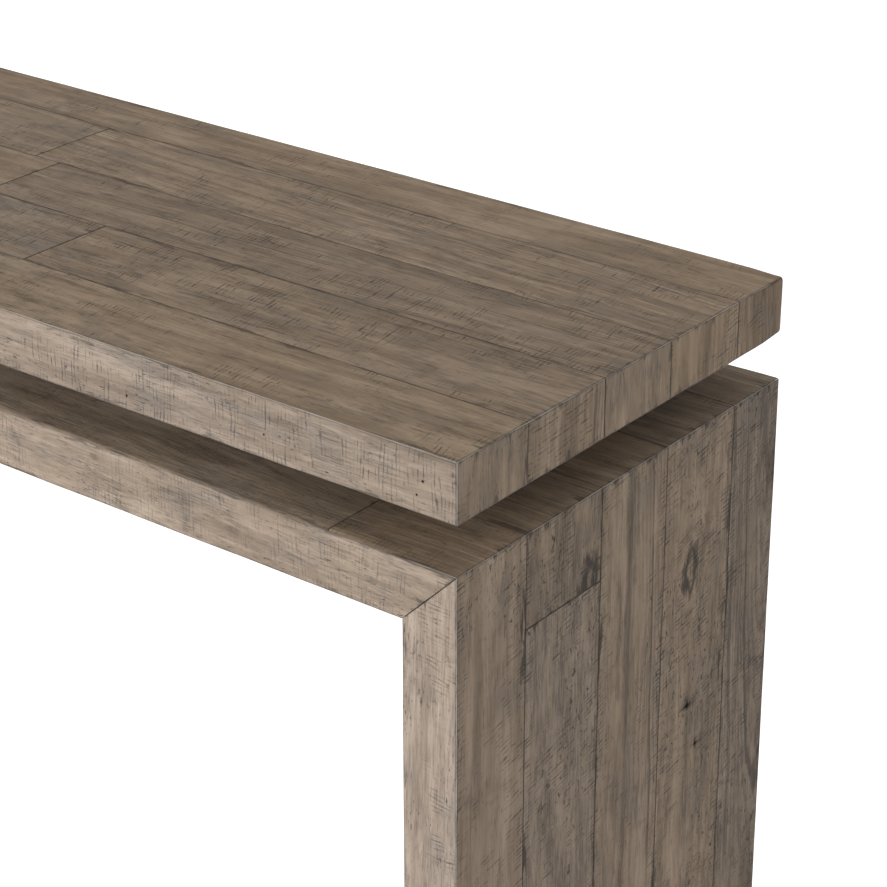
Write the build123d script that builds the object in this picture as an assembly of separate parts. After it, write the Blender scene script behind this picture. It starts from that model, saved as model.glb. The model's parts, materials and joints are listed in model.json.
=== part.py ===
from build123d import *
import os

# A console table of the waterfall kind, built hollow from reclaimed planks.
# Units are millimetres. X runs along the table, Y from front to back and Z up.
# The origin is on the floor, under the middle of the table.

os.makedirs("parts", exist_ok=True)

# ---------------------------------------------------------------- driving dimensions
LENGTH = 1800.0
DEPTH = 400.0
HEIGHT = 760.0
THICK = 46.0  # the top, the rail and each leg measure the same through
REVEAL = 37.0  # open gap between the rail and the top
FOOT_GAP = 9.0  # how far the legs stand off the floor on their levellers
SKIN = 18.0  # planks on the faces that show
LINING = 10.0  # boards on the undersides and on the inner faces of the legs
ROW_WIDTHS = (77.0, 89.0, 82.0, 89.0, 63.0)  # five plank rows, from front to back
EASE = 2.0  # rounding on the outer arrises
SEAM = 0.7  # small chamfer along each plank, which makes the seams read

# Butt joints, where two boards of one row meet end to end, by row.
TOP_BUTTS = {2: 428.0, 3: 295.0, 4: 266.0}
RAIL_BUTT = 790.0  # in the front row of the rail
LEG_BUTT_DROP = 73.0  # in row 2 of the right leg, below the top of the rail

# Hollow core
BATTEN = 60.0
STILE = 40.0
SOLE = 50.0
LINING_SEAMS = (-62.0, 62.0)  # three lining boards side by side

# Risers, which carry the top over the rail
RISER_PLACES = (-660.0, 0.0, 660.0)
RISER_NAMES = ("left", "centre", "right")
RISER_LENGTH = 90.0
RISER_DEPTH = 200.0

# Countersunk wood screws
SCREW_R = 2.5
SCREW_HEAD_R = 5.0
SCREW_HEAD = 3.0
SCREW_TIP = 5.0
RAIL_SCREW_LENGTH = 70.0
RAIL_SCREW_Y = 80.0
TOP_SCREW_LENGTH = 60.0
TOP_SCREW_X = 25.0
TOP_SCREW_Y = 40.0

# M8 levellers, one near each end of each leg
FOOT_Y = 160.0
STEM_R = 4.0
STEM_TOP = 41.0
STEM_HEAD_R = 5.7
STEM_HEAD_TOP = 3.1
COLLAR_FLATS = 11.0
COLLAR_LOW = 5.6
COLLAR_HIGH = 8.6
PAD_R = 13.0
PAD_HIGH = 5.5
PAD_ROUND = 1.2
SOCKET_FLOOR = 1.5
SOCKET_R = 6.0
SOCKET_LIP = 3.2
NECK_R = 4.3
RUN_CLEAR = 0.05  # vertical play between stem and pad
INSERT_R = 5.5
INSERT_BORE_R = 4.08
INSERT_LENGTH = 20.0
FLANGE_R = 8.0
FLANGE = 1.5
STEM_HOLE_R = 4.8
STEM_HOLE_TOP = 54.0

# ---------------------------------------------------------------- worked out from those
END = LENGTH / 2
FRONT = -DEPTH / 2
BACK = DEPTH / 2
TOP_LOW = HEIGHT - THICK
RAIL_TOP = TOP_LOW - REVEAL
RAIL_LOW = RAIL_TOP - THICK
CORE = THICK - SKIN - LINING
CORE_X = END - SKIN - CORE / 2  # middle of a leg's core
INNER_X = END - THICK  # inner face of a leg

UP, DOWN = Vector(0, 0, 1), Vector(0, 0, -1)
AHEAD, BEHIND = Vector(0, -1, 0), Vector(0, 1, 0)
RIGHT, LEFT = Vector(1, 0, 0), Vector(-1, 0, 0)


def rows():
    """The plank rows as (number, front edge, back edge)."""
    low = FRONT
    for number, width in enumerate(ROW_WIDTHS, start=1):
        yield number, low, low + width
        low += width


def block(x, y, z):
    """A square-cut block between two corners, given as (low, high) pairs."""
    spans = (x, y, z)
    size = [high - low for low, high in spans]
    middle = [(low + high) / 2 for low, high in spans]
    return Pos(*middle) * Box(*size)


def mitre(piece, arris, own, other):
    """Cut a board where it meets another at 45 degrees. The two outer faces, which look
    along own and other, meet in a line through arris, and the board keeps its own side."""
    return split(piece, bisect_by=Plane(origin=arris, z_dir=other - own), keep=Keep.BOTTOM)


def ease_seams(board, face_axis, long_axis, outward):
    """Chamfer the long edges on a board's show face. outward is 1 or -1 along face_axis."""
    groups = board.edges().filter_by(long_axis).group_by(face_axis)
    edges = groups[-1] if outward > 0 else groups[0]
    return chamfer(edges, SEAM)


def write(name, *solids):
    """Write one node, which holds one solid or a group of separate solids."""
    found = [solid for item in solids for solid in item.solids()]
    shape = found[0] if len(found) == 1 else Compound(children=found)
    export_step(shape, f"parts/{name}.step")


# ---------------------------------------------------------------- outer forms, with eased arrises
def top_form():
    form = block((-END, END), (FRONT, BACK), (TOP_LOW, HEIGHT))
    return fillet(form.edges(), EASE)


def base_form():
    form = block((-END, END), (FRONT, BACK), (FOOT_GAP, RAIL_TOP))
    form -= block((-INNER_X, INNER_X), (FRONT, BACK), (FOOT_GAP, RAIL_LOW))
    return fillet(form.edges(), EASE)


TOP_FORM = top_form()
BASE_FORM = base_form()


# ---------------------------------------------------------------- screws
def screw(x, y, low, length):
    """A countersunk screw that points up, with its head's face at low."""
    shank = Pos(x, y, low + (length - SCREW_TIP) / 2) * Cylinder(SCREW_R, length - SCREW_TIP)
    head_z = low + SCREW_HEAD / 2
    head = Pos(x, y, head_z) * Cone(SCREW_HEAD_R, SCREW_R, SCREW_HEAD)
    tip_z = low + length - SCREW_TIP / 2
    tip = Pos(x, y, tip_z) * Cone(SCREW_R, SCREW_R / 5, SCREW_TIP)
    return shank + head + tip


def rail_screws():
    """Up through the rail into the risers."""
    return [
        screw(x, y, RAIL_LOW, RAIL_SCREW_LENGTH)
        for x in RISER_PLACES
        for y in (-RAIL_SCREW_Y, RAIL_SCREW_Y)
    ]


def top_screws():
    """Up through the risers into the top."""
    return [
        screw(x + step, y, RAIL_TOP, TOP_SCREW_LENGTH)
        for x in RISER_PLACES
        for step in (-TOP_SCREW_X, TOP_SCREW_X)
        for y in (-TOP_SCREW_Y, TOP_SCREW_Y)
    ]


RAIL_SCREWS = rail_screws()
TOP_SCREWS = top_screws()


def drilled(piece, screws):
    """A piece with the holes that its screws cut."""
    box = piece.bounding_box()
    for item in screws:
        hole = item.bounding_box()
        clear_x = hole.min.X > box.max.X or hole.max.X < box.min.X
        clear_y = hole.min.Y > box.max.Y or hole.max.Y < box.min.Y
        clear_z = hole.min.Z > box.max.Z or hole.max.Z < box.min.Z
        if not (clear_x or clear_y or clear_z):
            piece -= item
    return piece


# ---------------------------------------------------------------- boards that the top and the rail share
def flat_plank(row, x, y, z_top, form):
    """A plank on the upper face of the top or the rail, mitred wherever it meets an edge."""
    board = block(x, y, (z_top - SKIN, z_top))
    board = ease_seams(board, Axis.Z, Axis.X, 1)
    if x[0] == -END:
        board = mitre(board, (-END, 0, z_top), UP, LEFT)
    if x[1] == END:
        board = mitre(board, (END, 0, z_top), UP, RIGHT)
    if row == 1:
        board = mitre(board, (0, FRONT, z_top), UP, AHEAD)
    if row == len(ROW_WIDTHS):
        board = mitre(board, (0, BACK, z_top), UP, BEHIND)
    return board & form


def lining_boards(x, z):
    """Three boards side by side, set in between the front and back edges."""
    sides = (FRONT + SKIN, *LINING_SEAMS, BACK - SKIN)
    return [block(x, (low, high), z) for low, high in zip(sides, sides[1:])]


def core_grid(end_x, z):
    """Two long battens with cross battens between them."""
    front = (FRONT + SKIN, FRONT + SKIN + STILE)
    back = (BACK - SKIN - STILE, BACK - SKIN)
    long_battens = [block((-end_x, end_x), y, z) for y in (front, back)]
    last = end_x - BATTEN / 2
    places = (-last, *RISER_PLACES, last)
    spans = [(x - BATTEN / 2, x + BATTEN / 2) for x in places]
    return long_battens + [block(span, (front[1], back[0]), z) for span in spans]


# ---------------------------------------------------------------- top
def make_top():
    for row, low, high in rows():
        if row in TOP_BUTTS:
            seam = TOP_BUTTS[row]
            left = flat_plank(row, (-END, seam), (low, high), HEIGHT, TOP_FORM)
            right = flat_plank(row, (seam, END), (low, high), HEIGHT, TOP_FORM)
            write(f"top_plank_{row}_left", left)
            write(f"top_plank_{row}_right", right)
        else:
            plank = flat_plank(row, (-END, END), (low, high), HEIGHT, TOP_FORM)
            write(f"top_plank_{row}", plank)

    for name, face, y, inner in (
        ("front", AHEAD, FRONT, FRONT + SKIN),
        ("back", BEHIND, BACK, BACK - SKIN),
    ):
        edge = block((-END, END), (min(y, inner), max(y, inner)), (TOP_LOW, HEIGHT))
        edge = mitre(edge, (0, y, HEIGHT), face, UP)
        edge = mitre(edge, (-END, y, 0), face, LEFT)
        edge = mitre(edge, (END, y, 0), face, RIGHT)
        write(f"top_{name}_edge", edge & TOP_FORM)

    for name, face, x, inner in (
        ("left", LEFT, -END, -END + SKIN),
        ("right", RIGHT, END, END - SKIN),
    ):
        write(f"top_{name}_end_blocks", *end_blocks(face, x, inner))

    lining = lining_boards((-END + SKIN, END - SKIN), (TOP_LOW, TOP_LOW + LINING))
    write("top_lining", *[drilled(board, TOP_SCREWS) for board in lining])
    battens = core_grid(END - SKIN, (TOP_LOW + LINING, HEIGHT - SKIN))
    write("top_core_battens", *[drilled(batten, TOP_SCREWS) for batten in battens])


def end_blocks(face, x, inner):
    """Five short blocks across one end of the top, each in line with its plank."""
    blocks = []
    for row, low, high in rows():
        piece = block((min(x, inner), max(x, inner)), (low, high), (TOP_LOW, HEIGHT))
        piece = ease_seams(piece, Axis.X, Axis.Z, face.X)
        piece = mitre(piece, (x, 0, HEIGHT), face, UP)
        if row == 1:
            piece = mitre(piece, (x, FRONT, 0), face, AHEAD)
        if row == len(ROW_WIDTHS):
            piece = mitre(piece, (x, BACK, 0), face, BEHIND)
        blocks.append(piece & TOP_FORM)
    return blocks


# ---------------------------------------------------------------- rail
def make_rail():
    for row, low, high in rows():
        if row == 1:
            left = flat_plank(row, (-END, RAIL_BUTT), (low, high), RAIL_TOP, BASE_FORM)
            right = flat_plank(row, (RAIL_BUTT, END), (low, high), RAIL_TOP, BASE_FORM)
            write("rail_plank_1_left", drilled(left, RAIL_SCREWS))
            write("rail_plank_1_right", right)
        else:
            plank = flat_plank(row, (-END, END), (low, high), RAIL_TOP, BASE_FORM)
            write(f"rail_plank_{row}", drilled(plank, RAIL_SCREWS))

    for name, face, y, inner in (
        ("front", AHEAD, FRONT, FRONT + SKIN),
        ("back", BEHIND, BACK, BACK - SKIN),
    ):
        edge = block((-END, END), (min(y, inner), max(y, inner)), (RAIL_LOW, RAIL_TOP))
        edge = mitre(edge, (0, y, RAIL_TOP), face, UP)
        edge = mitre(edge, (-END, 0, RAIL_TOP), UP, LEFT)
        edge = mitre(edge, (END, 0, RAIL_TOP), UP, RIGHT)
        write(f"rail_{name}_edge", edge & BASE_FORM)

    lining = lining_boards((-INNER_X, INNER_X), (RAIL_LOW, RAIL_LOW + LINING))
    write("rail_lining", *[drilled(board, RAIL_SCREWS) for board in lining])
    battens = core_grid(END - SKIN, (RAIL_LOW + LINING, RAIL_TOP - SKIN))
    write("rail_core_battens", *[drilled(batten, RAIL_SCREWS) for batten in battens])


# ---------------------------------------------------------------- legs
def leg_plank(row, face, y, z):
    """An upright plank on the outer face of a leg."""
    x = END * face.X
    inner = x - SKIN * face.X
    board = block((min(x, inner), max(x, inner)), y, z)
    board = ease_seams(board, Axis.X, Axis.Z, face.X)
    if z[1] == RAIL_TOP:
        board = mitre(board, (x, 0, RAIL_TOP), face, UP)
    if row == 1:
        board = mitre(board, (x, FRONT, 0), face, AHEAD)
    if row == len(ROW_WIDTHS):
        board = mitre(board, (x, BACK, 0), face, BEHIND)
    return board & BASE_FORM


def leg_edge(face, y_face, y, inner):
    """The strip that closes the front or the back of a leg, mitred to the rail's strip."""
    x = END * face.X
    near = x - THICK * face.X
    strip = block((min(x, near), max(x, near)), (min(y, inner), max(y, inner)), (FOOT_GAP, RAIL_TOP))
    strip = mitre(strip, (x, y, 0), y_face, face)
    strip = mitre(strip, (x, 0, RAIL_TOP), face, UP)
    return strip & BASE_FORM


def sole(x):
    """The block at the foot of a leg, bored for the levellers' inserts and stems."""
    half = CORE / 2
    piece = block((x - half, x + half), (FRONT + SKIN, BACK - SKIN), (FOOT_GAP, FOOT_GAP + SOLE))
    for y in (-FOOT_Y, FOOT_Y):
        piece -= upright(x, y, FLANGE_R, FOOT_GAP, FOOT_GAP + FLANGE)
        piece -= upright(x, y, INSERT_R, FOOT_GAP, FOOT_GAP + INSERT_LENGTH)
        piece -= upright(x, y, STEM_HOLE_R, FOOT_GAP, STEM_HOLE_TOP)
    return piece


def leg_core(x):
    """Sole, two uprights and a batten across the middle, between planks and lining."""
    half = CORE / 2
    span = (x - half, x + half)
    z = (FOOT_GAP + SOLE, RAIL_LOW + LINING)
    front = (FRONT + SKIN, FRONT + SKIN + STILE)
    back = (BACK - SKIN - STILE, BACK - SKIN)
    middle = (z[0] + z[1]) / 2
    uprights = [block(span, y, z) for y in (front, back)]
    batten = block(span, (front[1], back[0]), (middle - BATTEN / 2, middle + BATTEN / 2))
    return [sole(x), *uprights, batten]


def make_leg(name, face):
    for row, low, high in rows():
        if name == "right" and row == 2:
            seam = RAIL_TOP - LEG_BUTT_DROP
            upper = leg_plank(row, face, (low, high), (seam, RAIL_TOP))
            lower = leg_plank(row, face, (low, high), (FOOT_GAP, seam))
            write("leg_right_plank_2_upper", upper)
            write("leg_right_plank_2_lower", lower)
        else:
            plank = leg_plank(row, face, (low, high), (FOOT_GAP, RAIL_TOP))
            write(f"leg_{name}_plank_{row}", plank)

    write(f"leg_{name}_front_edge", leg_edge(face, AHEAD, FRONT, FRONT + SKIN))
    write(f"leg_{name}_back_edge", leg_edge(face, BEHIND, BACK, BACK - SKIN))

    near = INNER_X * face.X
    far = (INNER_X + LINING) * face.X
    lining_x = (min(near, far), max(near, far))
    lining = lining_boards(lining_x, (FOOT_GAP, RAIL_LOW + LINING))
    write(f"leg_{name}_lining", *lining)
    write(f"leg_{name}_core", *leg_core(CORE_X * face.X))


# ---------------------------------------------------------------- risers
def make_risers():
    for name, x in zip(RISER_NAMES, RISER_PLACES):
        span_x = (x - RISER_LENGTH / 2, x + RISER_LENGTH / 2)
        span_y = (-RISER_DEPTH / 2, RISER_DEPTH / 2)
        riser = block(span_x, span_y, (RAIL_TOP, TOP_LOW))
        write(f"riser_{name}", drilled(riser, RAIL_SCREWS + TOP_SCREWS))
    write("rail_to_riser_screws", *RAIL_SCREWS)
    write("riser_to_top_screws", *TOP_SCREWS)


# ---------------------------------------------------------------- levellers
def upright(x, y, radius, low, high):
    """A round bar or bore that stands on end."""
    return Pos(x, y, (low + high) / 2) * Cylinder(radius, high - low)


def insert(x, y):
    """A flanged brass insert, pressed into the sole."""
    piece = upright(x, y, FLANGE_R, FOOT_GAP, FOOT_GAP + FLANGE)
    piece += upright(x, y, INSERT_R, FOOT_GAP, FOOT_GAP + INSERT_LENGTH)
    return piece - upright(x, y, INSERT_BORE_R, FOOT_GAP, FOOT_GAP + INSERT_LENGTH)


def pad(x, y):
    """A moulded swivel pad, which snaps over the head of the stem."""
    body = upright(x, y, PAD_R, 0, PAD_HIGH)
    body = fillet(body.edges().group_by(Axis.Z)[-1], PAD_ROUND)
    body -= upright(x, y, SOCKET_R, SOCKET_FLOOR, SOCKET_LIP)
    return body - upright(x, y, NECK_R, SOCKET_LIP, PAD_HIGH)


def stem(x, y):
    """The threaded stem, with its round head in the pad and a hexagon collar for a spanner."""
    low = SOCKET_FLOOR + RUN_CLEAR
    piece = upright(x, y, STEM_R, low, STEM_TOP)
    piece = chamfer(piece.edges().group_by(Axis.Z)[-1], STEM_R / 4)
    piece += upright(x, y, STEM_HEAD_R, low, STEM_HEAD_TOP)
    hexagon = RegularPolygon(COLLAR_FLATS / 2, 6, major_radius=False)
    collar = Pos(x, y, COLLAR_LOW) * extrude(hexagon, COLLAR_HIGH - COLLAR_LOW)
    return piece + collar


def make_levellers():
    inserts = []
    for side, x in (("left", -CORE_X), ("right", CORE_X)):
        for end, y in (("front", -FOOT_Y), ("back", FOOT_Y)):
            inserts.append(insert(x, y))
            write(f"foot_pad_{end}_{side}", pad(x, y))
            write(f"foot_stem_{end}_{side}", stem(x, y))
    write("foot_inserts", *inserts)


make_top()
make_rail()
make_leg("left", LEFT)
make_leg("right", RIGHT)
make_risers()
make_levellers()
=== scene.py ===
import json
import math
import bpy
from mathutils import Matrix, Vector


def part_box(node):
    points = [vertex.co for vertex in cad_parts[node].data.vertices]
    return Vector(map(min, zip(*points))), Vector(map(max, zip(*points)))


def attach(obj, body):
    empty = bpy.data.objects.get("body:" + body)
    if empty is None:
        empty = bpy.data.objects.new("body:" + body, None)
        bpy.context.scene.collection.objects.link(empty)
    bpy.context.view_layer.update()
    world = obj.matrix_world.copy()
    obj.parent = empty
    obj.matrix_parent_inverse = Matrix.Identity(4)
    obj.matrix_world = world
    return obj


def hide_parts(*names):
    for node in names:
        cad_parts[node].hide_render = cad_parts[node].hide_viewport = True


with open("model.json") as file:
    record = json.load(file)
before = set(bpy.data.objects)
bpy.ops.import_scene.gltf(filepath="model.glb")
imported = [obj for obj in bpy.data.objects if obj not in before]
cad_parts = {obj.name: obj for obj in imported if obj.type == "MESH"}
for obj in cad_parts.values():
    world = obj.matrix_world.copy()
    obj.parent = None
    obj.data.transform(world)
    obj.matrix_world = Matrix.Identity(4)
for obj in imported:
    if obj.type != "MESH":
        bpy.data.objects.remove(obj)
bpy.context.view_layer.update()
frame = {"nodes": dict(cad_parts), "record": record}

from types import SimpleNamespace

import bpy
import numpy as np
from mathutils import Vector

MM = 0.001
BODY = "table"
NODES = frame["nodes"]
SLOTS = {part["node"]: part["material_slot"] for part in frame["record"]["subparts"]}
X, Y, Z = 0, 1, 2
rng = np.random.default_rng(20)


# ------------------------------------------------------------------ sizes read from the frame, in metres
def low(node, axis):
    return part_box(node)[0][axis]


def high(node, axis):
    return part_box(node)[1][axis]


END = high("top_right_end_blocks", X)
FRONT = low("top_front_edge", Y)
BACK = high("top_back_edge", Y)
HEIGHT = high("top_plank_3_left", Z)
TOP_LOW = low("top_lining", Z)
RAIL_TOP = high("rail_plank_3", Z)
RAIL_LOW = low("rail_lining", Z)
INNER = low("leg_right_lining", X)
SHOE = low("leg_right_plank_3", Z)
THICK = HEIGHT - TOP_LOW
SKIN = HEIGHT - low("top_plank_3_left", Z)
LINING = high("top_lining", Z) - TOP_LOW
ROWS = range(1, 6)
ROW_EDGES = [FRONT, *(low(f"rail_plank_{row}", Y) for row in ROWS[1:]), BACK]
LINING_SEAM = 62 * MM
LINING_EDGES = [FRONT + SKIN, -LINING_SEAM, LINING_SEAM, BACK - SKIN]

# ------------------------------------------------------------------ smooth seeded ripples
WAVES = 7
FULL_TURN = 6.28


def ripple(points, wavelength, seed):
    """A smooth field between about -1 and 1 that is the same for every piece."""
    draw = np.random.default_rng(seed)
    total = np.zeros(len(points))
    for _ in range(WAVES):
        direction = draw.normal(size=3)
        direction /= np.linalg.norm(direction)
        pitch = wavelength * draw.uniform(0.7, 1.6)
        total += np.sin(points @ direction * (2 * math.pi / pitch) + draw.uniform(0, FULL_TURN))
    return total / (WAVES / 2)


def smooth(value, start, end):
    """0 at start, 1 at end, with no corners between."""
    t = np.clip((value - start) / (end - start), 0, 1)
    return t * t * (3 - 2 * t)


# ------------------------------------------------------------------ a board's lattice of points
ARRIS_CUTS = np.array([0, 0.35, 0.75, 1.25, 1.9, 2.8, 4.2, 6.5, 10]) * MM
DEPTH_CUTS = ARRIS_CUTS[:-1]
HOLE_CUTS = np.array([-1.7, -1.1, -0.7, -0.35, 0, 0.35, 0.7, 1.1, 1.7]) * MM
ALONG_STEP = 14 * MM
ACROSS_STEP = 12 * MM
DEPTH_SHARE = 0.7  # no cut lies deeper than this share of the board, except its inner face
ON_FACE = 1e-6  # a point less deep than this is on the show face


def cuts(length, step, holes):
    """Places to cut a side, close together near both ends and around holes."""
    middle = np.linspace(0, length, max(2, int(round(length / step)) + 1))
    gap = ARRIS_CUTS[-1]
    middle = middle[(middle > gap + step / 4) & (middle < length - gap - step / 4)]
    places = [ARRIS_CUTS, middle, length - ARRIS_CUTS]
    places += [hole + HOLE_CUTS for hole in holes]
    places = np.unique(np.round(np.concatenate(places), 6))
    return places[(places >= 0) & (places <= length + 1e-9)]


def lattice(counts):
    """Quads over the surface of a block of counts points each way, and its used points."""
    index = np.arange(math.prod(counts)).reshape(counts)
    sheets = (
        (index[0], False),
        (index[-1], True),
        (index[:, 0], True),
        (index[:, -1], False),
        (index[:, :, 0], False),
        (index[:, :, -1], True),
    )
    quads = []
    for sheet, outward in sheets:
        corners = [sheet[:-1, :-1], sheet[1:, :-1], sheet[1:, 1:], sheet[:-1, 1:]]
        quad = np.stack([corner.ravel() for corner in corners], axis=1)
        quads.append(quad if outward else quad[:, ::-1])
    used, inverse = np.unique(np.concatenate(quads), return_inverse=True)
    return used, inverse.reshape(-1, 4)


def block_points(size, holes):
    """Lengths along, across and into a plain block at its surface points, and its quads."""
    length, width, depth = size
    along = cuts(length, ALONG_STEP, [hole[0] for hole in holes])
    across = cuts(width, ACROSS_STEP, [hole[1] for hole in holes])
    deep = np.append(DEPTH_CUTS[DEPTH_CUTS < depth * DEPTH_SHARE], depth)
    counts = (len(along), len(across), len(deep))
    used, quads = lattice(counts)
    ia, ib, ic = np.unravel_index(used, counts)
    return along[ia], across[ib], deep[ic], quads


# ------------------------------------------------------------------ a board's wear
SEAM_ROUND = 0.65 * MM
LEAST_ARRIS = 0.5 * MM
UNEVEN = 0.35 * MM
TINY = 1e-9  # keeps a division away from zero
SEAM_WAVE = 35 * MM
ARRIS_SLOW_WAVE = 60 * MM
ARRIS_QUICK_WAVE = 18 * MM
UNEVEN_WAVE = 110 * MM
RIM_FADE = 8 * MM


def nail_holes(a, b, c, holes):
    """How deep the points sink into old nail holes, and how dark they are there."""
    sink = np.zeros(len(a))
    dark = np.zeros(len(a))
    for hole_a, hole_b, hole_r in holes:
        away = np.hypot(a - hole_a, b - hole_b)
        inside = (c < ON_FACE) & (away < hole_r * 1.9)
        bowl = np.where(inside, smooth(away, hole_r * 1.15, hole_r * 0.45), 0)
        dark = np.maximum(dark, np.where(inside, smooth(away, hole_r * 1.9, hole_r), 0))
        sink = np.maximum(sink, bowl * hole_r * 2.2)
    return sink, dark


def eased_seam(place, depth, distance, sign, seam_r):
    """Rounds a show face's corner at one seam. distance runs from the seam, and place moves by
    sign away from it. Gives the new place and depth, and how deep in the seam's groove they are."""
    near, dip = np.maximum(seam_r - distance, 0), np.maximum(seam_r - depth, 0)
    reach = np.hypot(near, dip)
    past = reach > seam_r
    scale = np.where(past, seam_r / np.maximum(reach, TINY), 1)
    place = np.where(past, place + sign * (near - near * scale), place)
    depth = np.where(past, depth + (dip - dip * scale), depth)
    groove = np.where(depth < 3 * seam_r, smooth(distance, 1.6 * seam_r, 0), 0)
    return place, depth, groove


def wear_arrises(points, skins, radius):
    """Rounds the points over at the table's outer arrises, in place.
    Gives how much each one is on a sharp arris and how much on a broad one."""
    slow, quick = ripple(points, ARRIS_SLOW_WAVE, 3), ripple(points, ARRIS_QUICK_WAVE, 4)
    worn_r = radius(points) * (1 + 0.26 * slow + 0.07 * quick)
    worn_r = np.maximum(worn_r, LEAST_ARRIS)
    bite, plane, facing = np.zeros((3, len(points), 3))
    for axis, sign, place in skins:
        near = np.maximum(worn_r - sign * (place - points[:, axis]), 0)
        closer = near > bite[:, axis]
        bite[closer, axis] = near[closer]
        plane[closer, axis] = place
        facing[closer, axis] = sign
    reach = np.linalg.norm(bite, axis=1)
    past = reach > worn_r
    scale = np.where(past, worn_r / np.maximum(reach, TINY), 1)
    for axis in (X, Y, Z):
        move = past & (bite[:, axis] > 0)
        target = plane[:, axis] - facing[:, axis] * (worn_r - bite[:, axis] * scale)
        points[:, axis] = np.where(move, target, points[:, axis])
    second = np.sort(bite, axis=1)[:, 1]
    crest = np.clip(second / worn_r, 0, 1)
    broad = smooth(worn_r, 1.9 * MM, 3.0 * MM)
    return crest * (1 - broad), crest * broad


def unevenness(points, depth, side, tip, shift):
    """How far each point of the show face lies below a true plane, fading out at the board's rim."""
    share = smooth(depth, 5 * MM, 0)
    for rim in (side, tip):
        share = share * smooth(np.minimum(rim[:, 0], rim[:, 1]), 0, RIM_FADE)
    wave = 0.5 + 0.5 * ripple(points + shift, UNEVEN_WAVE, 8)
    return np.clip(wave, 0, 1) * share * UNEVEN


def drawn_pith(width):
    """Where the tree's centre lies: across and into the board, and how it leans each way."""
    return (rng.uniform(-0.2, 1.2) * width, rng.uniform(18, 60) * MM, *rng.uniform(-0.03, 0.03, 2))


FAR_KNOT = (9, 9, 0.01)  # metres beyond any board, which then shows no knot


def worn_board(
    origin,
    axes,
    size,
    ends=((0, 0), (0, 0)),
    sides=(0, 0),
    skins=(),
    radius=lambda points: np.full(len(points), 1.4 * MM),
    holes=(),
    knot=FAR_KNOT,
    pith=None,
    tone=0.0,
    warmth=0.0,
    marks=(0.0, 0.0, 0.0),
):
    """One board as arrays: its points, its quads and the fields that its material reads.
    axes are along the grain, across it and inward from the show face. ends are mitre slopes
    (by across, by depth) at the low and high end, and sides the slopes by depth at the low and
    high side. skins are outer planes as (axis, sign, place), whose arrises are worn to radius.
    holes are old nail holes as (along, across, radius), knot is the same for a knot, and pith is
    as in drawn_pith. marks shift how much saw work, smoke and ring figure the board shows."""
    length, width, _ = size
    a, b, c, quads = block_points(size, holes)

    # mitres
    across_share = b / width
    b = b + sides[0] * c * (1 - across_share) - sides[1] * c * across_share
    along_share = a / length
    start = ends[0][0] * b + ends[0][1] * c
    stop = ends[1][0] * b + ends[1][1] * c
    a = a + start * (1 - along_share) - stop * along_share

    # the grain's own lengths, and the distances from each side and end
    grain = np.stack([a, b, c], axis=1)
    side = np.stack([b - sides[0] * c, width - sides[1] * c - b, c], axis=1)
    tip = np.stack([a - start, length - stop - a, c], axis=1)

    sink, hole_dark = nail_holes(a, b, c, holes)
    c = c + sink

    # seams with neighbours, eased by wear, but for the mitred ones
    seam_r = SEAM_ROUND * (1 + 0.35 * ripple(np.stack([a, b, c], axis=1) + tone, SEAM_WAVE, 5))
    groove = np.zeros(len(a))
    for which, sign in enumerate((1, -1)):
        if not sides[which]:
            b, c, deep = eased_seam(b, c, side[:, which], sign, seam_r)
            groove = np.maximum(groove, deep)
    for which, sign in enumerate((1, -1)):
        if not ends[which][1]:
            a, c, deep = eased_seam(a, c, tip[:, which], sign, seam_r)
            groove = np.maximum(groove, deep)

    frame_axes = np.array(axes, float)
    points = np.array(origin) + np.stack([a, b, c], axis=1) @ frame_axes
    crest, crease = wear_arrises(points, skins, radius)
    points += np.outer(unevenness(points, c, side, tip, tone), frame_axes[2])
    if np.linalg.det(frame_axes) < 0:
        quads = quads[:, ::-1]

    seed = rng.uniform(0, 1)
    if pith is None:
        pith = drawn_pith(width)
    centred = grain.copy()
    centred[:, 1] -= pith[0] + pith[2] * grain[:, 0]
    centred[:, 2] -= pith[1] + pith[3] * grain[:, 0]
    nothing = np.zeros(len(a))
    return {
        "points": points,
        "quads": quads,
        "grain": centred,
        "side": side,
        "tip": tip,
        "wear_and_highlight": np.stack([crest, hole_dark, groove], axis=1),
        "board": np.tile([tone, warmth, seed], (len(a), 1)),
        "knot": np.stack([grain[:, 0] - knot[0], grain[:, 1] - knot[1], nothing + knot[2]], axis=1),
        "marks": np.tile(marks, (len(a), 1)),
        "crease": np.stack([crease, nothing, nothing], axis=1),
    }


FIELDS = ("grain", "side", "tip", "wear_and_highlight", "board", "knot", "marks", "crease")
SHARP_ANGLE = math.radians(50)


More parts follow.
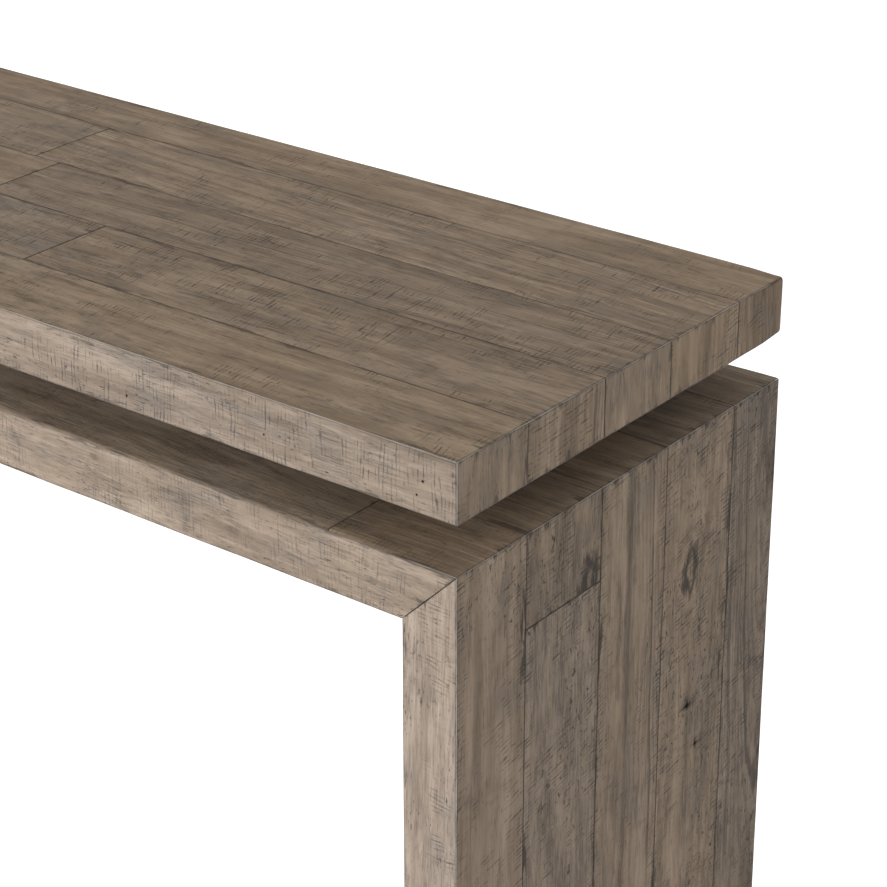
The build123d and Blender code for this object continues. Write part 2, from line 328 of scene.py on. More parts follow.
def make_piece(node, boards, material):
    """Joins boards into one piece that stands for a CAD node."""
    offset, faces = 0, []
    for item in boards:
        faces.append(item["quads"] + offset)
        offset += len(item["points"])
    points = np.concatenate([item["points"] for item in boards])
    faces = np.concatenate(faces)
    mesh = bpy.data.meshes.new(f"worn_{node}")
    mesh.vertices.add(len(points))
    mesh.vertices.foreach_set("co", points.astype(np.float32).ravel())
    mesh.loops.add(faces.size)
    mesh.loops.foreach_set("vertex_index", faces.astype(np.int32).ravel())
    mesh.polygons.add(len(faces))
    mesh.polygons.foreach_set("loop_start", np.arange(0, faces.size, 4, dtype=np.int32))
    for name in FIELDS:
        values = np.concatenate([item[name] for item in boards]).astype(np.float32)
        field = mesh.attributes.new(name, "FLOAT_VECTOR", "POINT")
        field.data.foreach_set("vector", values.ravel())
    mesh.update(calc_edges=True)
    mesh.validate()
    mesh.polygons.foreach_set("use_smooth", np.ones(len(mesh.polygons), bool))
    mesh.set_sharp_from_angle(angle=SHARP_ANGLE)
    mesh.materials.append(material)
    piece = bpy.data.objects.new(f"worn_{node}", mesh)
    bpy.context.scene.collection.objects.link(piece)
    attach(piece, BODY)
    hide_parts(node)


# ------------------------------------------------------------------ shader graphs
MIX_A, MIX_B, MIX_RESULT = 6, 7, 2  # the colour sockets of a Mix node


class Graph:
    """Short calls that add nodes to one material. A value is a socket, a number or a tuple."""

    def __init__(self, name):
        self.material = bpy.data.materials.new(name)
        self.material.use_nodes = True
        self.tree = self.material.node_tree
        self.tree.nodes.clear()

    def add(self, kind, *values, **settings):
        node = self.tree.nodes.new(kind)
        for key, value in settings.items():
            setattr(node, key, value)
        for socket, value in zip(node.inputs, values):
            self.feed(socket, value)
        return node

    def feed(self, socket, value):
        if isinstance(value, bpy.types.NodeSocket):
            self.tree.links.new(value, socket)
        else:
            socket.default_value = value

    def math(self, operation, *values):
        return self.add("ShaderNodeMath", *values, operation=operation).outputs[0]

    def plus(self, a, b):
        return self.math("ADD", a, b)

    def minus(self, a, b):
        return self.math("SUBTRACT", a, b)

    def times(self, a, b):
        return self.math("MULTIPLY", a, b)

    def least(self, a, b):
        return self.math("MINIMUM", a, b)

    def most(self, a, b):
        return self.math("MAXIMUM", a, b)

    def split(self, vector):
        return self.add("ShaderNodeSeparateXYZ", vector).outputs

    def vector(self, x, y, z):
        return self.add("ShaderNodeCombineXYZ", x, y, z).outputs[0]

    def vmath(self, operation, *values):
        return self.add("ShaderNodeVectorMath", *values, operation=operation).outputs[0]

    def length(self, vector):
        return self.vmath("LENGTH", vector).node.outputs["Value"]

    def attribute(self, name):
        return self.add("ShaderNodeAttribute", attribute_name=name).outputs["Vector"]

    def noise(self, vector, detail, roughness, distortion=0.0):
        node = self.add("ShaderNodeTexNoise")
        self.feed(node.inputs["Vector"], vector)
        node.inputs["Scale"].default_value = 1.0
        node.inputs["Detail"].default_value = detail
        node.inputs["Roughness"].default_value = roughness
        node.inputs["Distortion"].default_value = distortion
        return node.outputs[0]

    def stretch(self, vector, scale):
        return self.vmath("MULTIPLY", vector, scale)

    def step(self, value, start, end, low=0.0, high=1.0):
        """Low up to start and high from end on, with no corners between."""
        node = self.add("ShaderNodeMapRange", interpolation_type="SMOOTHSTEP")
        self.feed(node.inputs["Value"], value)
        node.inputs["From Min"].default_value = start
        node.inputs["From Max"].default_value = end
        node.inputs["To Min"].default_value = low
        node.inputs["To Max"].default_value = high
        return node.outputs[0]

    def mix(self, share, a, b, blend="MIX"):
        """Colour a, with a share of colour b over it."""
        node = self.add("ShaderNodeMix", data_type="RGBA", blend_type=blend)
        self.feed(node.inputs[0], share)
        for socket, value in ((node.inputs[MIX_A], a), (node.inputs[MIX_B], b)):
            if isinstance(value, tuple) and len(value) == 3:
                value = (*value, 1.0)
            self.feed(socket, value)
        return node.outputs[MIX_RESULT]

    def finish(self, colour, roughness, height=None, bump=0.1, distance=0.001, constants=()):
        """Ends the material in one shader. constants go to its own sockets by name."""
        shader = self.add("ShaderNodeBsdfPrincipled")
        self.feed(shader.inputs["Base Color"], colour)
        self.feed(shader.inputs["Roughness"], roughness)
        for key, value in dict(constants).items():
            shader.inputs[key].default_value = value
        if height is not None:
            node = self.add("ShaderNodeBump")
            node.inputs["Strength"].default_value = bump
            node.inputs["Distance"].default_value = distance
            self.feed(node.inputs["Height"], height)
            self.tree.links.new(node.outputs[0], shader.inputs["Normal"])
        out = self.add("ShaderNodeOutputMaterial")
        self.tree.links.new(shader.outputs[0], out.inputs[0])
        return self.material


# ------------------------------------------------------------------ weathered pine with a grey wash
LOOK = SimpleNamespace(
    pale=(0.300, 0.232, 0.170),
    light=(0.243, 0.184, 0.131),
    mid=(0.196, 0.145, 0.101),
    deep=(0.120, 0.087, 0.060),
    stain=(0.032, 0.027, 0.023),
    grey=(0.148, 0.120, 0.095),
    silver_wear_and_highlight=(0.36, 0.355, 0.345),
    grey_line=(0.085, 0.085, 0.085),
    nail_hole=(0.010, 0.009, 0.008),
)
# in millimetres, measured out from the pith
RING_PITCH = 3.4
WIDE_PITCH = 14.0
ARC_PITCH = 19.0
KNOT_BULGE = 13.0


class Wood:
    """The lengths and noise fields of one wood that its layers share. A board's own grain, in
    millimetres, is a along it, b across it from the pith and c inward from the pith."""

    def __init__(self, g):
        self.g = g
        self.grain = g.vmath("SCALE", g.attribute("grain"))
        self.grain.node.inputs["Scale"].default_value = 1 / MM
        self.a, self.b, self.c = g.split(self.grain)
        self.tone, self.warmth, seed = g.split(g.attribute("board"))
        self.more_saw, self.more_smoke, self.more_ring = g.split(g.attribute("marks"))
        self.crest, self.hole, self.groove = g.split(g.attribute("wear_and_highlight"))
        self.crease = g.split(g.attribute("crease"))[0]
        # unlike multiples of the board's seed set its noise far from the next board's
        self.shift = g.vector(g.times(seed, 977.0), g.times(seed, 613.0), g.times(seed, 331.0))

        knot_a, knot_b, knot_r = g.split(g.attribute("knot"))
        knot_away = g.length(g.vector(g.times(knot_a, 0.5), knot_b, 0.0))
        self.knot_share = g.math("DIVIDE", knot_away, knot_r)

        side_a, side_b, _ = g.split(g.attribute("side"))
        tip_a, tip_b, _ = g.split(g.attribute("tip"))
        self.rim = g.times(g.least(g.least(side_a, side_b), g.least(tip_a, tip_b)), 1 / MM)

        self.fibre = self.field((0.055, 0.70, 0.70), 3.0, 0.62, 5.0)
        self.streak = self.field((0.010, 0.15, 0.15), 4.0, 0.62, 7.0)
        self.patchy = self.field((0.016, 0.030, 0.030), 5.0, 0.66, 17.0)

    def field(self, scale, detail, roughness, offset, distortion=0.0):
        """Noise in the board's own grain. A larger scale is finer, and offset tells fields apart."""
        place = self.g.vmath("ADD", self.g.stretch(self.grain, scale), self.shift)
        place = self.g.vmath("ADD", place, (offset, offset * 0.7, offset * 1.3))
        return self.g.noise(place, detail, roughness, distortion)


def ring_reach(g, wood):
    """Distance from a leaning pith, with the rings bent round a knot."""
    bulge = g.math("EXPONENT", g.times(g.math("POWER", wood.knot_share, 2.0), -0.25))
    wander = g.times(g.minus(wood.field((0.004, 0.014, 0.014), 2.0, 0.5, 3.0), 0.5), 30.0)
    tremble = g.times(g.minus(wood.field((0.02, 0.12, 0.12), 3.0, 0.6, 11.0), 0.5), 5.0)
    ring_b = g.plus(g.plus(wood.b, wander), g.times(bulge, KNOT_BULGE))
    return g.length(g.vector(0.0, ring_b, g.plus(wood.c, tremble)))


def late_wood(g, reach):
    """The dark rim of each narrow growth ring."""
    ring = g.math("FRACT", g.times(reach, 1 / RING_PITCH))
    return g.times(g.step(ring, 0.25, 0.85), g.step(ring, 1.0, 0.9))


def strong_arcs(g, wood, reach):
    """A few thin dark rings, on boards marked for strong figure."""
    ring = g.math("FRACT", g.times(reach, 1 / ARC_PITCH))
    arc = g.times(g.step(ring, 0.80, 0.93), g.step(ring, 1.0, 0.95))
    return g.least(g.times(arc, g.most(g.times(wood.more_ring, 1.6), 0.0)), 0.6)


def ground(g, wood, reach, late, rings, woolly):
    """The wood's own colour: streaks, rings, bands, grey patches and fibres."""
    wide = g.math("SINE", g.times(reach, 2 * math.pi / WIDE_PITCH))
    band = wood.field((0.005, 0.045, 0.045), 3.0, 0.58, 13.0)
    tongue = wood.field((0.006, 0.030, 0.030), 3.0, 0.55, 61.0, 0.6)
    figure = g.most(g.plus(wood.more_ring, rings), 0.0)
    thick = g.step(wood.patchy, 0.30, 0.62, 0.22 * woolly, 0.62 * woolly)

    colour = g.mix(g.step(wood.streak, 0.36, 0.62), LOOK.mid, LOOK.light)
    colour = g.mix(g.times(g.step(wide, -0.8, 1.0), rings * 0.55), colour, LOOK.deep)
    colour = g.mix(g.times(late, g.times(g.step(wood.patchy, 0.30, 0.60), figure)), colour, LOOK.deep)
    colour = g.mix(strong_arcs(g, wood, reach), colour, LOOK.stain)
    colour = g.mix(g.step(band, 0.48, 0.70, 0.0, 0.70), colour, LOOK.deep)
    colour = g.mix(g.step(wood.patchy, 0.48, 0.68, 0.0, 0.62), colour, LOOK.grey)
    colour = g.mix(g.step(tongue, 0.56, 0.66, 0.0, 0.38), colour, LOOK.pale)
    colour = g.mix(g.times(g.step(wood.fibre, 0.50, 0.70), thick), colour, LOOK.deep)
    return g.mix(g.step(wood.fibre, 0.45, 0.30, 0.0, 0.35 * woolly), colour, LOOK.pale)


def smoke_streaks(g, wood):
    """Smoky stain that follows the grain."""
    field = wood.field((0.014, 0.075, 0.075), 6.0, 0.72, 67.0, 0.2)
    in_fibres = g.step(wood.fibre, 0.36, 0.60, 0.25, 1.0)
    return g.times(g.step(g.plus(field, wood.more_smoke), 0.51, 0.65), in_fibres)


def stain_clouds(g, wood):
    """Stain that lies in bands across the grain."""
    field = wood.field((0.050, 0.018, 0.02), 5.0, 0.64, 29.0, 0.3)
    return g.times(g.step(field, 0.52, 0.72), g.step(wood.fibre, 0.32, 0.62, 0.25, 1.0))


def saw_strokes(g, wood, tilt, pitch, cover, width, at_rim):
    """Saw marks across the grain, evenly pitched, in patches and broken by the fibres."""
    sway = g.times(g.minus(wood.field((0.020, 0.012, 0.012), 2.0, 0.5, 31.0), 0.5), 14.0)
    jitter = g.times(g.minus(wood.field((0.22, 0.03, 0.03), 2.0, 0.5, 33.0), 0.5), 5.0)
    place = g.plus(g.plus(wood.a, g.times(wood.b, tilt)), g.plus(sway, jitter))
    line = g.step(g.math("SINE", g.times(place, 2 * math.pi / pitch)), width, 1.0)
    patches = g.plus(wood.field((0.013, 0.024, 0.02), 5.0, 0.66, 37.0), wood.more_saw)
    patch = g.step(patches, 0.64 - 0.3 * cover, 0.76 - 0.3 * cover)
    patch = g.most(patch, g.times(g.step(wood.rim, 15.0, 3.0), at_rim))
    weight = g.step(wood.field((0.16, 0.04, 0.04), 2.0, 0.6, 39.0), 0.38, 0.62)
    broken = g.step(wood.field((0.10, 0.15, 0.15), 4.0, 0.7, 41.0), 0.38, 0.56)
    return g.times(g.times(line, patch), g.times(weight, broken))


def dark_hairs(g, wood):
    """Pores as thin as a hair along the grain."""
    hair = wood.field((0.035, 1.5, 1.5), 2.0, 0.6, 23.0)
    return g.times(g.step(hair, 0.56, 0.70), g.step(wood.patchy, 0.36, 0.60, 0.25, 1.0))


def short_flecks(g, wood):
    fleck = wood.field((0.19, 0.85, 0.85), 1.0, 0.5, 43.0)
    zone = wood.field((0.02, 0.04, 0.04), 3.0, 0.6, 47.0)
    return g.times(g.step(fleck, 0.655, 0.72), g.step(zone, 0.38, 0.62))


def clustered_blots(g, wood):
    zone = g.plus(wood.field((0.008, 0.020, 0.020), 3.0, 0.6, 73.0), wood.more_smoke)
    blot = wood.field((0.14, 0.30, 0.30), 4.0, 0.66, 79.0, 0.6)
    return g.times(g.step(blot, 0.57, 0.65), g.step(zone, 0.50, 0.64))


def knot_shade(g, wood):
    """A ragged dark knot with a swirl in it."""
    edge = g.plus(wood.knot_share, g.times(g.minus(wood.patchy, 0.5), 3.2))
    swirl = g.math("SINE", g.plus(g.times(edge, 5.5), g.times(wood.streak, 9.0)))
    core = g.step(g.plus(edge, g.times(g.minus(wood.fibre, 0.5), 1.6)), 2.3, 0.3)
    return g.times(core, g.plus(0.40, g.times(swirl, 0.55)))


def worn_rim_and_highlight(g, wood, colour, halo_strength, seam_dark, rub_and_highlight):
    """Glaze gathered at the rim and in seams, wear on arrises with a painted highlight along their crests,
    and old nail holes.
    """
    halo = wood.field((0.018, 0.12, 0.12), 4.0, 0.65, 53.0)
    ragged = g.minus(wood.rim, g.times(g.step(halo, 0.48, 0.75), 11.0))
    colour = g.mix(g.step(ragged, 0.6, -5.0, 0.0, halo_strength), colour, LOOK.stain)
    filled = g.step(wood.field((0.02, 0.02, 0.02), 3.0, 0.6, 59.0), 0.36, 0.60, seam_dark, 0.94)
    colour = g.mix(g.times(wood.groove, filled), colour, LOOK.stain)
    under = g.times(g.step(wood.crest, 0.0, 0.15), g.step(wood.crest, 0.5, 0.3))
    colour = g.mix(g.times(under, 0.5), colour, LOOK.stain)
    # the crest of each sharp arris turns a light silver-grey: partly worn wood, partly a painted highlight
    # of light on the rounded edge
    rubbed_and_highlight = g.step(wood.field((0.03, 0.05, 0.05), 3.0, 0.6, 71.0), 0.36, 0.56, 0.2 * rub_and_highlight, rub_and_highlight)
    colour = g.mix(g.times(g.step(wood.crest, 0.35, 0.75), rubbed_and_highlight), colour, LOOK.silver_wear_and_highlight)
    colour = g.mix(g.times(g.step(wood.crease, 0.82, 0.97), 0.55), colour, LOOK.grey_line)
    return g.mix(g.times(wood.hole, 0.95), colour, LOOK.nail_hole)


def own_shade(g, wood, colour):
    """Each board a little lighter, darker, warmer or cooler than the next."""
    shade = g.plus(1.0, wood.tone)
    tint = g.vector(g.plus(1.0, g.times(wood.warmth, 0.5)), 1.0, g.minus(1.0, wood.warmth))
    return g.mix(1.0, colour, g.vmath("MULTIPLY", tint, g.vector(shade, shade, shade)), "MULTIPLY")


def reclaimed_wood(
    name,
    saw=0.5,
    saw_tilt=0.0,
    saw_pitch=3.8,
    saw_cover=0.5,
    rim_saw=0.0,
    stroke_width=0.35,
    cloud=0.5,
    rings=0.5,
    flecks=0.6,
    smoke=0.5,
    blots=0.4,
    rub_and_highlight=0.7,
    halo_strength=0.62,
    woolly=1.0,
    seam_dark=0.35,
):
    """Strengths run from 0 to 1. saw_pitch is in millimetres, saw_tilt is the strokes' slope, and
    stroke_width is the sine above which a stroke begins, so that a lower one is wider."""
    g = Graph(name)
    wood = Wood(g)
    reach = ring_reach(g, wood)
    late = late_wood(g, reach)
    stroke = saw_strokes(g, wood, saw_tilt, saw_pitch, saw_cover, stroke_width, rim_saw)
    hair = dark_hairs(g, wood)
    fleck = short_flecks(g, wood)

    colour = ground(g, wood, reach, late, rings, woolly)
    stains = (
        (smoke_streaks(g, wood), smoke * 0.85),
        (stain_clouds(g, wood), cloud * 0.75),
        (stroke, saw),
        (hair, 0.55),
        (fleck, flecks),
        (clustered_blots(g, wood), blots),
        (knot_shade(g, wood), 1.0),
    )
    for layer, strength in stains:
        colour = g.mix(g.times(layer, strength), colour, LOOK.stain)
    colour = worn_rim_and_highlight(g, wood, colour, halo_strength, seam_dark, rub_and_highlight)
    colour = own_shade(g, wood, colour)

    rough = g.plus(0.56, g.times(wood.fibre, 0.22))
    rough = g.minus(rough, g.times(wood.crest, 0.22))
    height = g.times(wood.fibre, -0.6)
    for layer, depth in ((hair, 0.5), (stroke, 0.9), (fleck, 0.8), (late, -0.2)):
        height = g.minus(height, g.times(layer, depth))
    return g.finish(colour, rough, height, bump=0.6, distance=0.0004, constants={"Specular IOR Level": 0.08})


WOOD_STYLES = {
    "top_wood": {
        "saw": 0.80, "saw_tilt": 0.12, "saw_cover": 0.68, "stroke_width": 0.25, "cloud": 0.3,
        "smoke": 0.62, "blots": 0.5, "rub_and_highlight": 0.45, "woolly": 0.62, "seam_dark": 0.6,
    },
    "end_block_wood": {
        "saw": 0.85, "saw_tilt": 0.12, "saw_cover": 0.56, "stroke_width": 0.1, "cloud": 0.25,
        "rings": 0.4, "smoke": 0.4, "rub_and_highlight": 0.9, "woolly": 0.7, "seam_dark": 0.6,
    },
    "edge_wood": {
        "saw": 0.66, "saw_pitch": 3.4, "saw_cover": 0.72, "cloud": 0.4, "rings": 0.2,
        "flecks": 0.85, "smoke": 0.25, "blots": 0.45, "rub_and_highlight": 0.22,
    },
    "rail_edge_wood": {
        "saw": 0.40, "saw_pitch": 3.4, "saw_cover": 0.70, "cloud": 0.62, "rings": 0.2,
        "flecks": 0.8, "smoke": 0.25, "blots": 0.3, "rub_and_highlight": 0.2,
    },
    "rail_wood": {"saw": 0.4, "saw_cover": 0.4, "cloud": 0.3, "rub_and_highlight": 0.4, "woolly": 0.7},
    "leg_wood": {
        "saw": 0.78, "saw_tilt": 0.2, "saw_pitch": 3.9, "saw_cover": 0.64, "rim_saw": 0.95,
        "stroke_width": -0.2, "cloud": 0.35, "rings": 0.42, "smoke": 0.45, "blots": 0.9, "rub_and_highlight": 0.8,
        "halo_strength": 0.85, "woolly": 0.6, "seam_dark": 0.8,
    },
    "lining_wood": {"saw": 0.35, "cloud": 0.3},
    "riser_wood": {"saw": 0.3, "cloud": 0.5},
}
WOODS = {name: reclaimed_wood(name, **style) for name, style in WOOD_STYLES.items()}


# ------------------------------------------------------------------ the table's boards
UP, DOWN = (0, 0, 1), (0, 0, -1)
AHEAD, BEHIND = (0, -1, 0), (0, 1, 0)
RIGHT, LEFT = (1, 0, 0), (-1, 0, 0)
UPRIGHT_SKINS = [(X, 1, END), (X, -1, -END), (Y, 1, BACK), (Y, -1, FRONT)]
TOP_SKINS = UPRIGHT_SKINS + [(Z, 1, HEIGHT), (Z, -1, TOP_LOW)]
BASE_SKINS = UPRIGHT_SKINS + [(Z, 1, RAIL_TOP), (Z, -1, SHOE)]
EDGES = (("front", FRONT, BEHIND), ("back", BACK, AHEAD))


def top_radius(points):
    """Thin arrises, rounder towards the top's back corners."""
    from_back, from_end = BACK - np.abs(points[:, Y]), END - np.abs(points[:, X])
    corner = smooth(from_back, 30 * MM, 4 * MM) * smooth(from_end, 30 * MM, 4 * MM)
    return (1.25 + 2.2 * corner * (points[:, Y] > 0)) * MM


def base_radius(points):
    """Thin arrises, but broad ones along the rail's upper edges."""
    from_end, below = END - np.abs(points[:, X]), RAIL_TOP - points[:, Z]
    along_rail = smooth(from_end, 12 * MM, 70 * MM) * smooth(below, 20 * MM, 8 * MM)
    return (1.2 + 3.4 * along_rail) * MM


MARK_SPREAD = (0.10, 0.045, 0.3)  # of saw work, smoke and ring figure


def draw_tone(spread=0.07, tone=0.0, marks=None, warmth=0.0):
    """A board's own shade, and how much saw work, smoke and ring figure it shows."""
    chance = rng.uniform(-1, 1, 3) * MARK_SPREAD
    return {
        "tone": tone + rng.uniform(-spread, spread),
        "warmth": warmth + rng.uniform(-0.03, 0.04),
        "marks": chance if marks is None else marks,
    }


def row_place(row):
    """A row's front and back places, and the mitre slopes of its two sides."""
    return ROW_EDGES[row - 1], ROW_EDGES[row], (int(row == ROWS[0]), int(row == ROWS[-1]))


def plank_spans(level, row):
    """The planks of a row of the top or rail, each with its span along the table."""
    left = f"{level}_plank_{row}_left"
    if left not in NODES:
        return {f"{level}_plank_{row}": (-END, END)}
    seam = high(left, X)
    return {left: (-END, seam), f"{level}_plank_{row}_right": (seam, END)}


def flat_plank(row, span, z_top, skins, radius, look):
    y0, y1, sides = row_place(row)
    ends = ((0, int(span[0] == -END)), (0, int(span[1] == END)))
    size = (span[1] - span[0], y1 - y0, SKIN)
    return worn_board((span[0], y0, z_top), (RIGHT, BEHIND, DOWN), size, ends, sides, skins, radius, **look)


def long_strip(y, inward, z_top, end, skins, radius, nails, look):
    """A strip along the front or back edge of the top or rail, mitred alike at both ends."""
    axes = (RIGHT, DOWN, inward)
    size = (2 * END, THICK, SKIN)
    holes = [(x * MM + END, z_top - z * MM, r * MM) for x, z, r in nails] if y == FRONT else ()
    return worn_board((-END, y, z_top), axes, size, (end, end), (1, 0), skins, radius, holes, **look)


# old nail holes as (x, z, radius) in millimetres
TOP_NAILS = [(608, 725, 0.7), (736, 732, 0.6), (872, 738, 0.7), (867, 727, 0.6)]
RAIL_NAILS = [(631, 660, 0.9), (661, 644, 0.9), (807, 650, 0.9), (837, 634, 0.8)]
LEG_NAILS = [(857, 615, 1.0), (891, 522, 0.8)]


def build_top():
    for row in ROWS:
        warmth = 0.05 if row == ROWS[0] else 0.0
        for node, span in plank_spans("top", row).items():
            look = draw_tone(tone=-0.02, warmth=warmth)
            plank = flat_plank(row, span, HEIGHT, TOP_SKINS, top_radius, look)
            make_piece(node, [plank], WOODS["top_wood"])

    for place, y, inward in EDGES:
        look = draw_tone(0.03, tone=-0.06, marks=(0.02, 0, 0), warmth=-0.12)
        strip = long_strip(y, inward, HEIGHT, (0, 1), TOP_SKINS, top_radius, TOP_NAILS, look)
        make_piece(f"top_{place}_edge", [strip], WOODS["edge_wood"])

    for place, x, inward in (("left", -END, RIGHT), ("right", END, LEFT)):
        blocks = [end_block(row, x, inward) for row in ROWS]
        make_piece(f"top_{place}_end_blocks", blocks, WOODS["end_block_wood"])


def end_block(row, x, inward):
    """A short block with upright grain, in line with its row of planks."""
    y0, y1, sides = row_place(row)
    axes = (DOWN, BEHIND, inward)
    size = (THICK, y1 - y0, SKIN)
    ends = ((0, 1), (0, 0))
    return worn_board((x, y0, HEIGHT), axes, size, ends, sides, TOP_SKINS, top_radius, **draw_tone())


def build_rail():
    for row in ROWS:
        for node, span in plank_spans("rail", row).items():
            # the rail's planks are 13 percent lighter: painted light on their upper faces, which lie in the
            # shade of the top
            plank = flat_plank(row, span, RAIL_TOP, BASE_SKINS, base_radius, draw_tone(tone=0.13))
            make_piece(node, [plank], WOODS["rail_wood"])
    skins = BASE_SKINS[:5] + [(Z, -1, RAIL_LOW)]
    for place, y, inward in EDGES:
        look = draw_tone(0.03, marks=(0.0, 0, 0), warmth=-0.12)
        strip = long_strip(y, inward, RAIL_TOP, (1, 0), skins, base_radius, RAIL_NAILS, look)
        make_piece(f"rail_{place}_edge", [strip], WOODS["rail_edge_wood"])


LEG_FIGURE = {  # shade, marks, pith and knot of each leg plank, from the front, in metres
    1: (0.02, (-0.05, -0.04, -0.2), (-0.05, 0.05, 0.0, 0.005), FAR_KNOT),
    2: (0.03, (-0.03, 0.08, 0.0), (0.02, 0.03, 0.01, 0.02), (0.068, 0.074, 0.014)),
    3: (0.04, (-0.05, 0.0, 0.35), (-0.02, 0.10, 0.01, 0.0), FAR_KNOT),
    4: (0.02, (0.05, 0.06, 0.1), (0.05, 0.04, 0.0, 0.02), (0.117, 0.037, 0.010)),
    5: (-0.07, (0.0, 0.05, 0.45), (0.055, 0.012, 0.0, 0.07), FAR_KNOT),
}
SMALL_KNOTS = {4: [(0.232, 0.039, 1.7 * MM), (0.272, 0.053, 1.4 * MM)]}


def leg_spans(side, row):
    """The planks of a leg's row, each with its upper and lower ends."""
    upper = f"leg_{side}_plank_{row}_upper"
    if upper not in NODES:
        return {f"leg_{side}_plank_{row}": (RAIL_TOP, SHOE)}
    seam = low(upper, Z)
    return {upper: (RAIL_TOP, seam), f"leg_{side}_plank_{row}_lower": (seam, SHOE)}


def leg_plank(row, x, inward, z1, z0):
    """One plank of a leg's outer face. The knot lies in the piece that reaches the rail."""
    y0, y1, sides = row_place(row)
    tone, marks, pith, knot = LEG_FIGURE[row]
    at_rail = z1 == RAIL_TOP
    return worn_board(
        (x, y0, z1),
        (DOWN, BEHIND, inward),
        (z1 - z0, y1 - y0, SKIN),
        ((0, int(at_rail)), (0, 0)),
        sides,
        BASE_SKINS,
        base_radius,
        holes=SMALL_KNOTS.get(row, ()),
        knot=knot if at_rail else FAR_KNOT,
        pith=pith,
        **draw_tone(0.03, tone, marks, warmth=-0.05),
    )


def leg_strip(x, y, sign, inward, into):
    """A strip down the front or back edge of a leg, mitred to the rail's strip."""
    nails = [(RAIL_TOP - z * MM, END - p * MM, r * MM) for p, z, r in LEG_NAILS] if y == FRONT else ()
    axes = (DOWN, inward, into)
    size = (RAIL_TOP - SHOE, THICK, SKIN)
    skins = BASE_SKINS + [(X, -sign, sign * INNER)]
    look = draw_tone(0.03, tone=0.12, marks=(-0.03, 0, 0), warmth=-0.15)
    ends = ((1, 0), (0, 0))
    return worn_board((x, y, RAIL_TOP), axes, size, ends, (1, 0), skins, base_radius, nails, **look)


def build_leg(side, outward):
    sign = outward[0]
    inward = (-sign, 0, 0)
    x = sign * END
    for row in ROWS:
        for node, (z1, z0) in leg_spans(side, row).items():
            make_piece(node, [leg_plank(row, x, inward, z1, z0)], WOODS["leg_wood"])
    for place, y, into in EDGES:
        make_piece(f"leg_{side}_{place}_edge", [leg_strip(x, y, sign, inward, into)], WOODS["edge_wood"])

    node = f"leg_{side}_lining"
    z_top = high(node, Z)
    axes = (DOWN, BEHIND, outward)
    skins = [(Z, -1, SHOE), (X, -sign, sign * INNER)]
    boards = []
    for y0, y1 in zip(LINING_EDGES, LINING_EDGES[1:]):
        size = (z_top - SHOE, y1 - y0, LINING)
        boards.append(worn_board((sign * INNER, y0, z_top), axes, size, skins=skins, **draw_tone()))
    make_piece(node, boards, WOODS["lining_wood"])


def build_linings():
    """The undersides of the top and of the rail."""
    for node, z in (("top_lining", TOP_LOW), ("rail_lining", RAIL_LOW)):
        x0, x1 = low(node, X), high(node, X)
        boards = [
            worn_board((x0, y0, z), (RIGHT, BEHIND, UP), (x1 - x0, y1 - y0, LINING), **draw_tone())
            for y0, y1 in zip(LINING_EDGES, LINING_EDGES[1:])
        ]
        make_piece(node, boards, WOODS["lining_wood"])


def build_risers():
    for place in ("left", "centre", "right"):
        node = f"riser_{place}"
        corner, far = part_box(node)
        size = (far[X] - corner[X], far[Z] - corner[Z], far[Y] - corner[Y])
        block = worn_board((corner[X], corner[Y], far[Z]), (RIGHT, DOWN, BEHIND), size, tone=-0.35)
        make_piece(node, [block], WOODS["riser_wood"])


build_top()
build_rail()
build_leg("left", LEFT)
build_leg("right", RIGHT)
build_linings()
build_risers()


# ------------------------------------------------------------------ finishes for the CAD parts that stay
def part_noise(g, scale, detail=3.0):
    """Noise in the part's own place, with scale in waves per metre."""
    place = g.add("ShaderNodeTexCoord").outputs["Object"]
    return g.noise(g.stretch(place, scale), detail, 0.6)


def zinc():
    g = Graph("zinc_steel")
    cloud = part_noise(g, (160, 160, 160))
    fine = part_noise(g, (2500, 2500, 900))
    colour = g.mix(g.step(cloud, 0.35, 0.7), (0.46, 0.47, 0.49), (0.60, 0.60, 0.60))
    rough = g.plus(0.28, g.times(fine, 0.2))
    return g.finish(colour, rough, fine, bump=0.15, distance=0.0001, constants={"Metallic": 1.0})


def brass():
    g = Graph("insert_brass")
    cloud = part_noise(g, (220, 220, 220))
    colour = g.mix(g.step(cloud, 0.35, 0.7), (0.55, 0.40, 0.16), (0.72, 0.56, 0.27))
    rough = g.plus(0.25, g.times(cloud, 0.25))
    return g.finish(colour, rough, cloud, bump=0.1, distance=0.0001, constants={"Metallic": 1.0})


def moulded():
    g = Graph("pad_plastic")
    fine = part_noise(g, (1800, 1800, 1800))
    scuff = part_noise(g, (140, 140, 420))
    colour = g.mix(g.step(scuff, 0.4, 0.75), (0.012, 0.012, 0.013), (0.035, 0.034, 0.033))
    rough = g.plus(0.42, g.times(fine, 0.25))
    return g.finish(colour, rough, fine, bump=0.2, distance=0.0001)


def batten_pine():
    g = Graph("core_pine")
    wide = part_noise(g, (6, 60, 60))
    fine = part_noise(g, (40, 700, 700), 4.0)
    colour = g.mix(g.step(wide, 0.35, 0.7), (0.42, 0.29, 0.16), (0.56, 0.42, 0.25))
    colour = g.mix(g.step(fine, 0.5, 0.75, 0.0, 0.4), colour, (0.30, 0.19, 0.10))
    rough = g.plus(0.6, g.times(fine, 0.2))
    return g.finish(colour, rough, fine, bump=0.3, distance=0.0003)


ZINC = zinc()
FINISHES = {
    "screw_steel": ZINC,
    "stem_steel": ZINC,
    "insert_brass": brass(),
    "pad_plastic": moulded(),
    "core_wood": batten_pine(),
}
for node, thing in NODES.items():
    if SLOTS[node] in FINISHES:
        thing.data.materials.clear()
        thing.data.materials.append(FINISHES[SLOTS[node]])


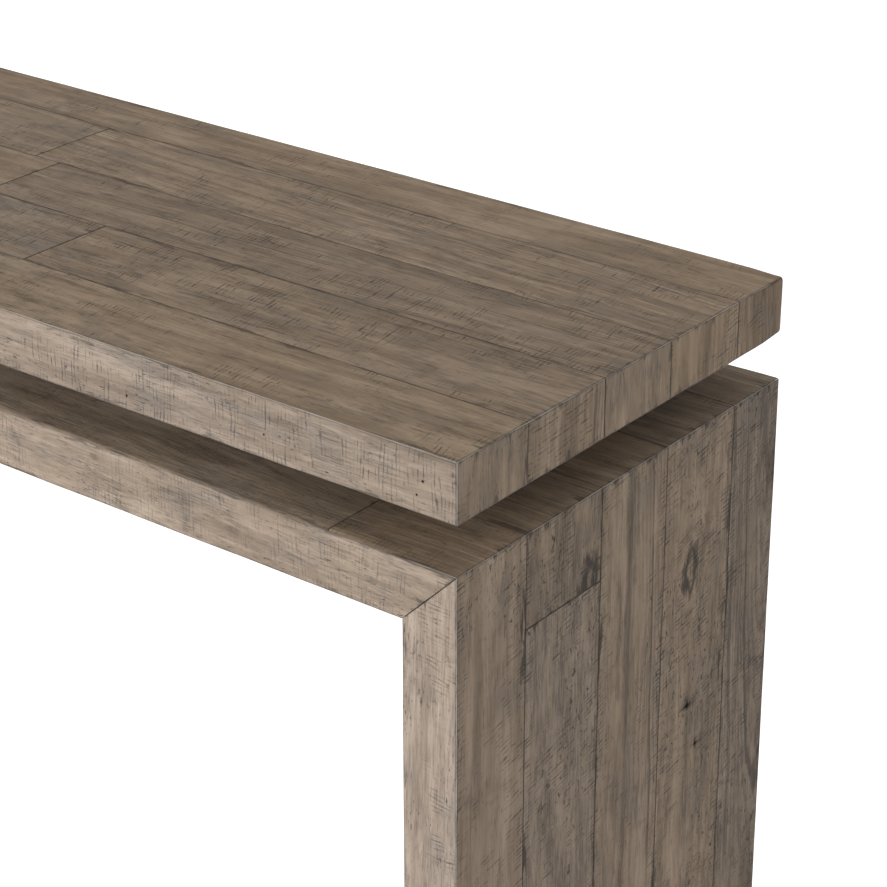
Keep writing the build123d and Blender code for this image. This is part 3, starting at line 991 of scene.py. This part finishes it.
# ------------------------------------------------------------------ studio
FLOOR_HALF = 14.0
FLOOR_GLOW = 0.45
SKY_LEFT, SKY_RIGHT = 1.0, 0.66
KEY_PLACE = (-0.6, -3.2, 1.5)
KEY_AIM = (0.4, 0, 0.55)
KEY_SIZE = (2.6, 1.8)
KEY_POWER = 128


def build_floor():
    floor = bpy.data.meshes.new("floor")
    corners = [(-1, -1), (1, -1), (1, 1), (-1, 1)]
    floor.from_pydata([(x * FLOOR_HALF, y * FLOOR_HALF, 0) for x, y in corners], [], [(0, 1, 2, 3)])
    thing = bpy.data.objects.new("floor", floor)
    bpy.context.scene.collection.objects.link(thing)
    g = Graph("pale_floor")
    glow = {
        "Specular IOR Level": 0.0,
        "Emission Color": (1, 1, 1, 1),
        "Emission Strength": FLOOR_GLOW,
    }
    floor.materials.append(g.finish((0.80, 0.80, 0.80, 1), 0.9, constants=glow))


def build_sky():
    """Even white light, a little weaker from the right."""
    world = bpy.data.worlds.new("studio")
    bpy.context.scene.world = world
    world.use_nodes = True
    tree = world.node_tree
    sky = tree.nodes["Background"]
    sky.inputs["Color"].default_value = (1, 1, 1, 1)
    place = tree.nodes.new("ShaderNodeTexCoord")
    split = tree.nodes.new("ShaderNodeSeparateXYZ")
    dim = tree.nodes.new("ShaderNodeMapRange")
    dim.interpolation_type = "SMOOTHSTEP"
    span = {"From Min": -0.1, "From Max": 0.8, "To Min": SKY_LEFT, "To Max": SKY_RIGHT}
    for key, value in span.items():
        dim.inputs[key].default_value = value
    tree.links.new(place.outputs["Generated"], split.inputs[0])
    tree.links.new(split.outputs[0], dim.inputs["Value"])
    tree.links.new(dim.outputs[0], sky.inputs["Strength"])


def build_key():
    lamp = bpy.data.lights.new("key", "AREA")
    lamp.shape = "RECTANGLE"
    lamp.size, lamp.size_y = KEY_SIZE
    lamp.energy = KEY_POWER
    key = bpy.data.objects.new("key", lamp)
    key.location = KEY_PLACE
    aim = Vector(KEY_AIM) - key.location
    key.rotation_euler = aim.to_track_quat("-Z", "Y").to_euler()
    bpy.context.scene.collection.objects.link(key)


CAMERA_OFFSET = (2.3437, -3.0598, 2.0856)  # from the base's front right top corner, in table depths
CAMERA_AZIMUTH = math.radians(37.77)
CAMERA_ELEVATION = math.radians(22.74)
CAMERA_LENS = 109.44
CAMERA_SHIFT = -0.1505


def build_camera():
    camera = bpy.data.cameras.new("camera")
    thing = bpy.data.objects.new("camera", camera)
    bpy.context.scene.collection.objects.link(thing)
    corner = Vector((END, FRONT, RAIL_TOP))
    thing.location = corner + (BACK - FRONT) * Vector(CAMERA_OFFSET)
    level = math.cos(CAMERA_ELEVATION)
    ahead = Vector(
        (
            -math.sin(CAMERA_AZIMUTH) * level,
            math.cos(CAMERA_AZIMUTH) * level,
            -math.sin(CAMERA_ELEVATION),
        )
    )
    thing.rotation_euler = ahead.to_track_quat("-Z", "Y").to_euler()
    camera.sensor_width = 36
    camera.lens = CAMERA_LENS
    camera.shift_y = CAMERA_SHIFT
    camera.clip_end = 100
    camera.dof.use_dof = False
    bpy.context.scene.camera = thing


build_floor()
build_sky()
build_key()
build_camera()
bpy.context.scene.view_settings.view_transform = "Standard"
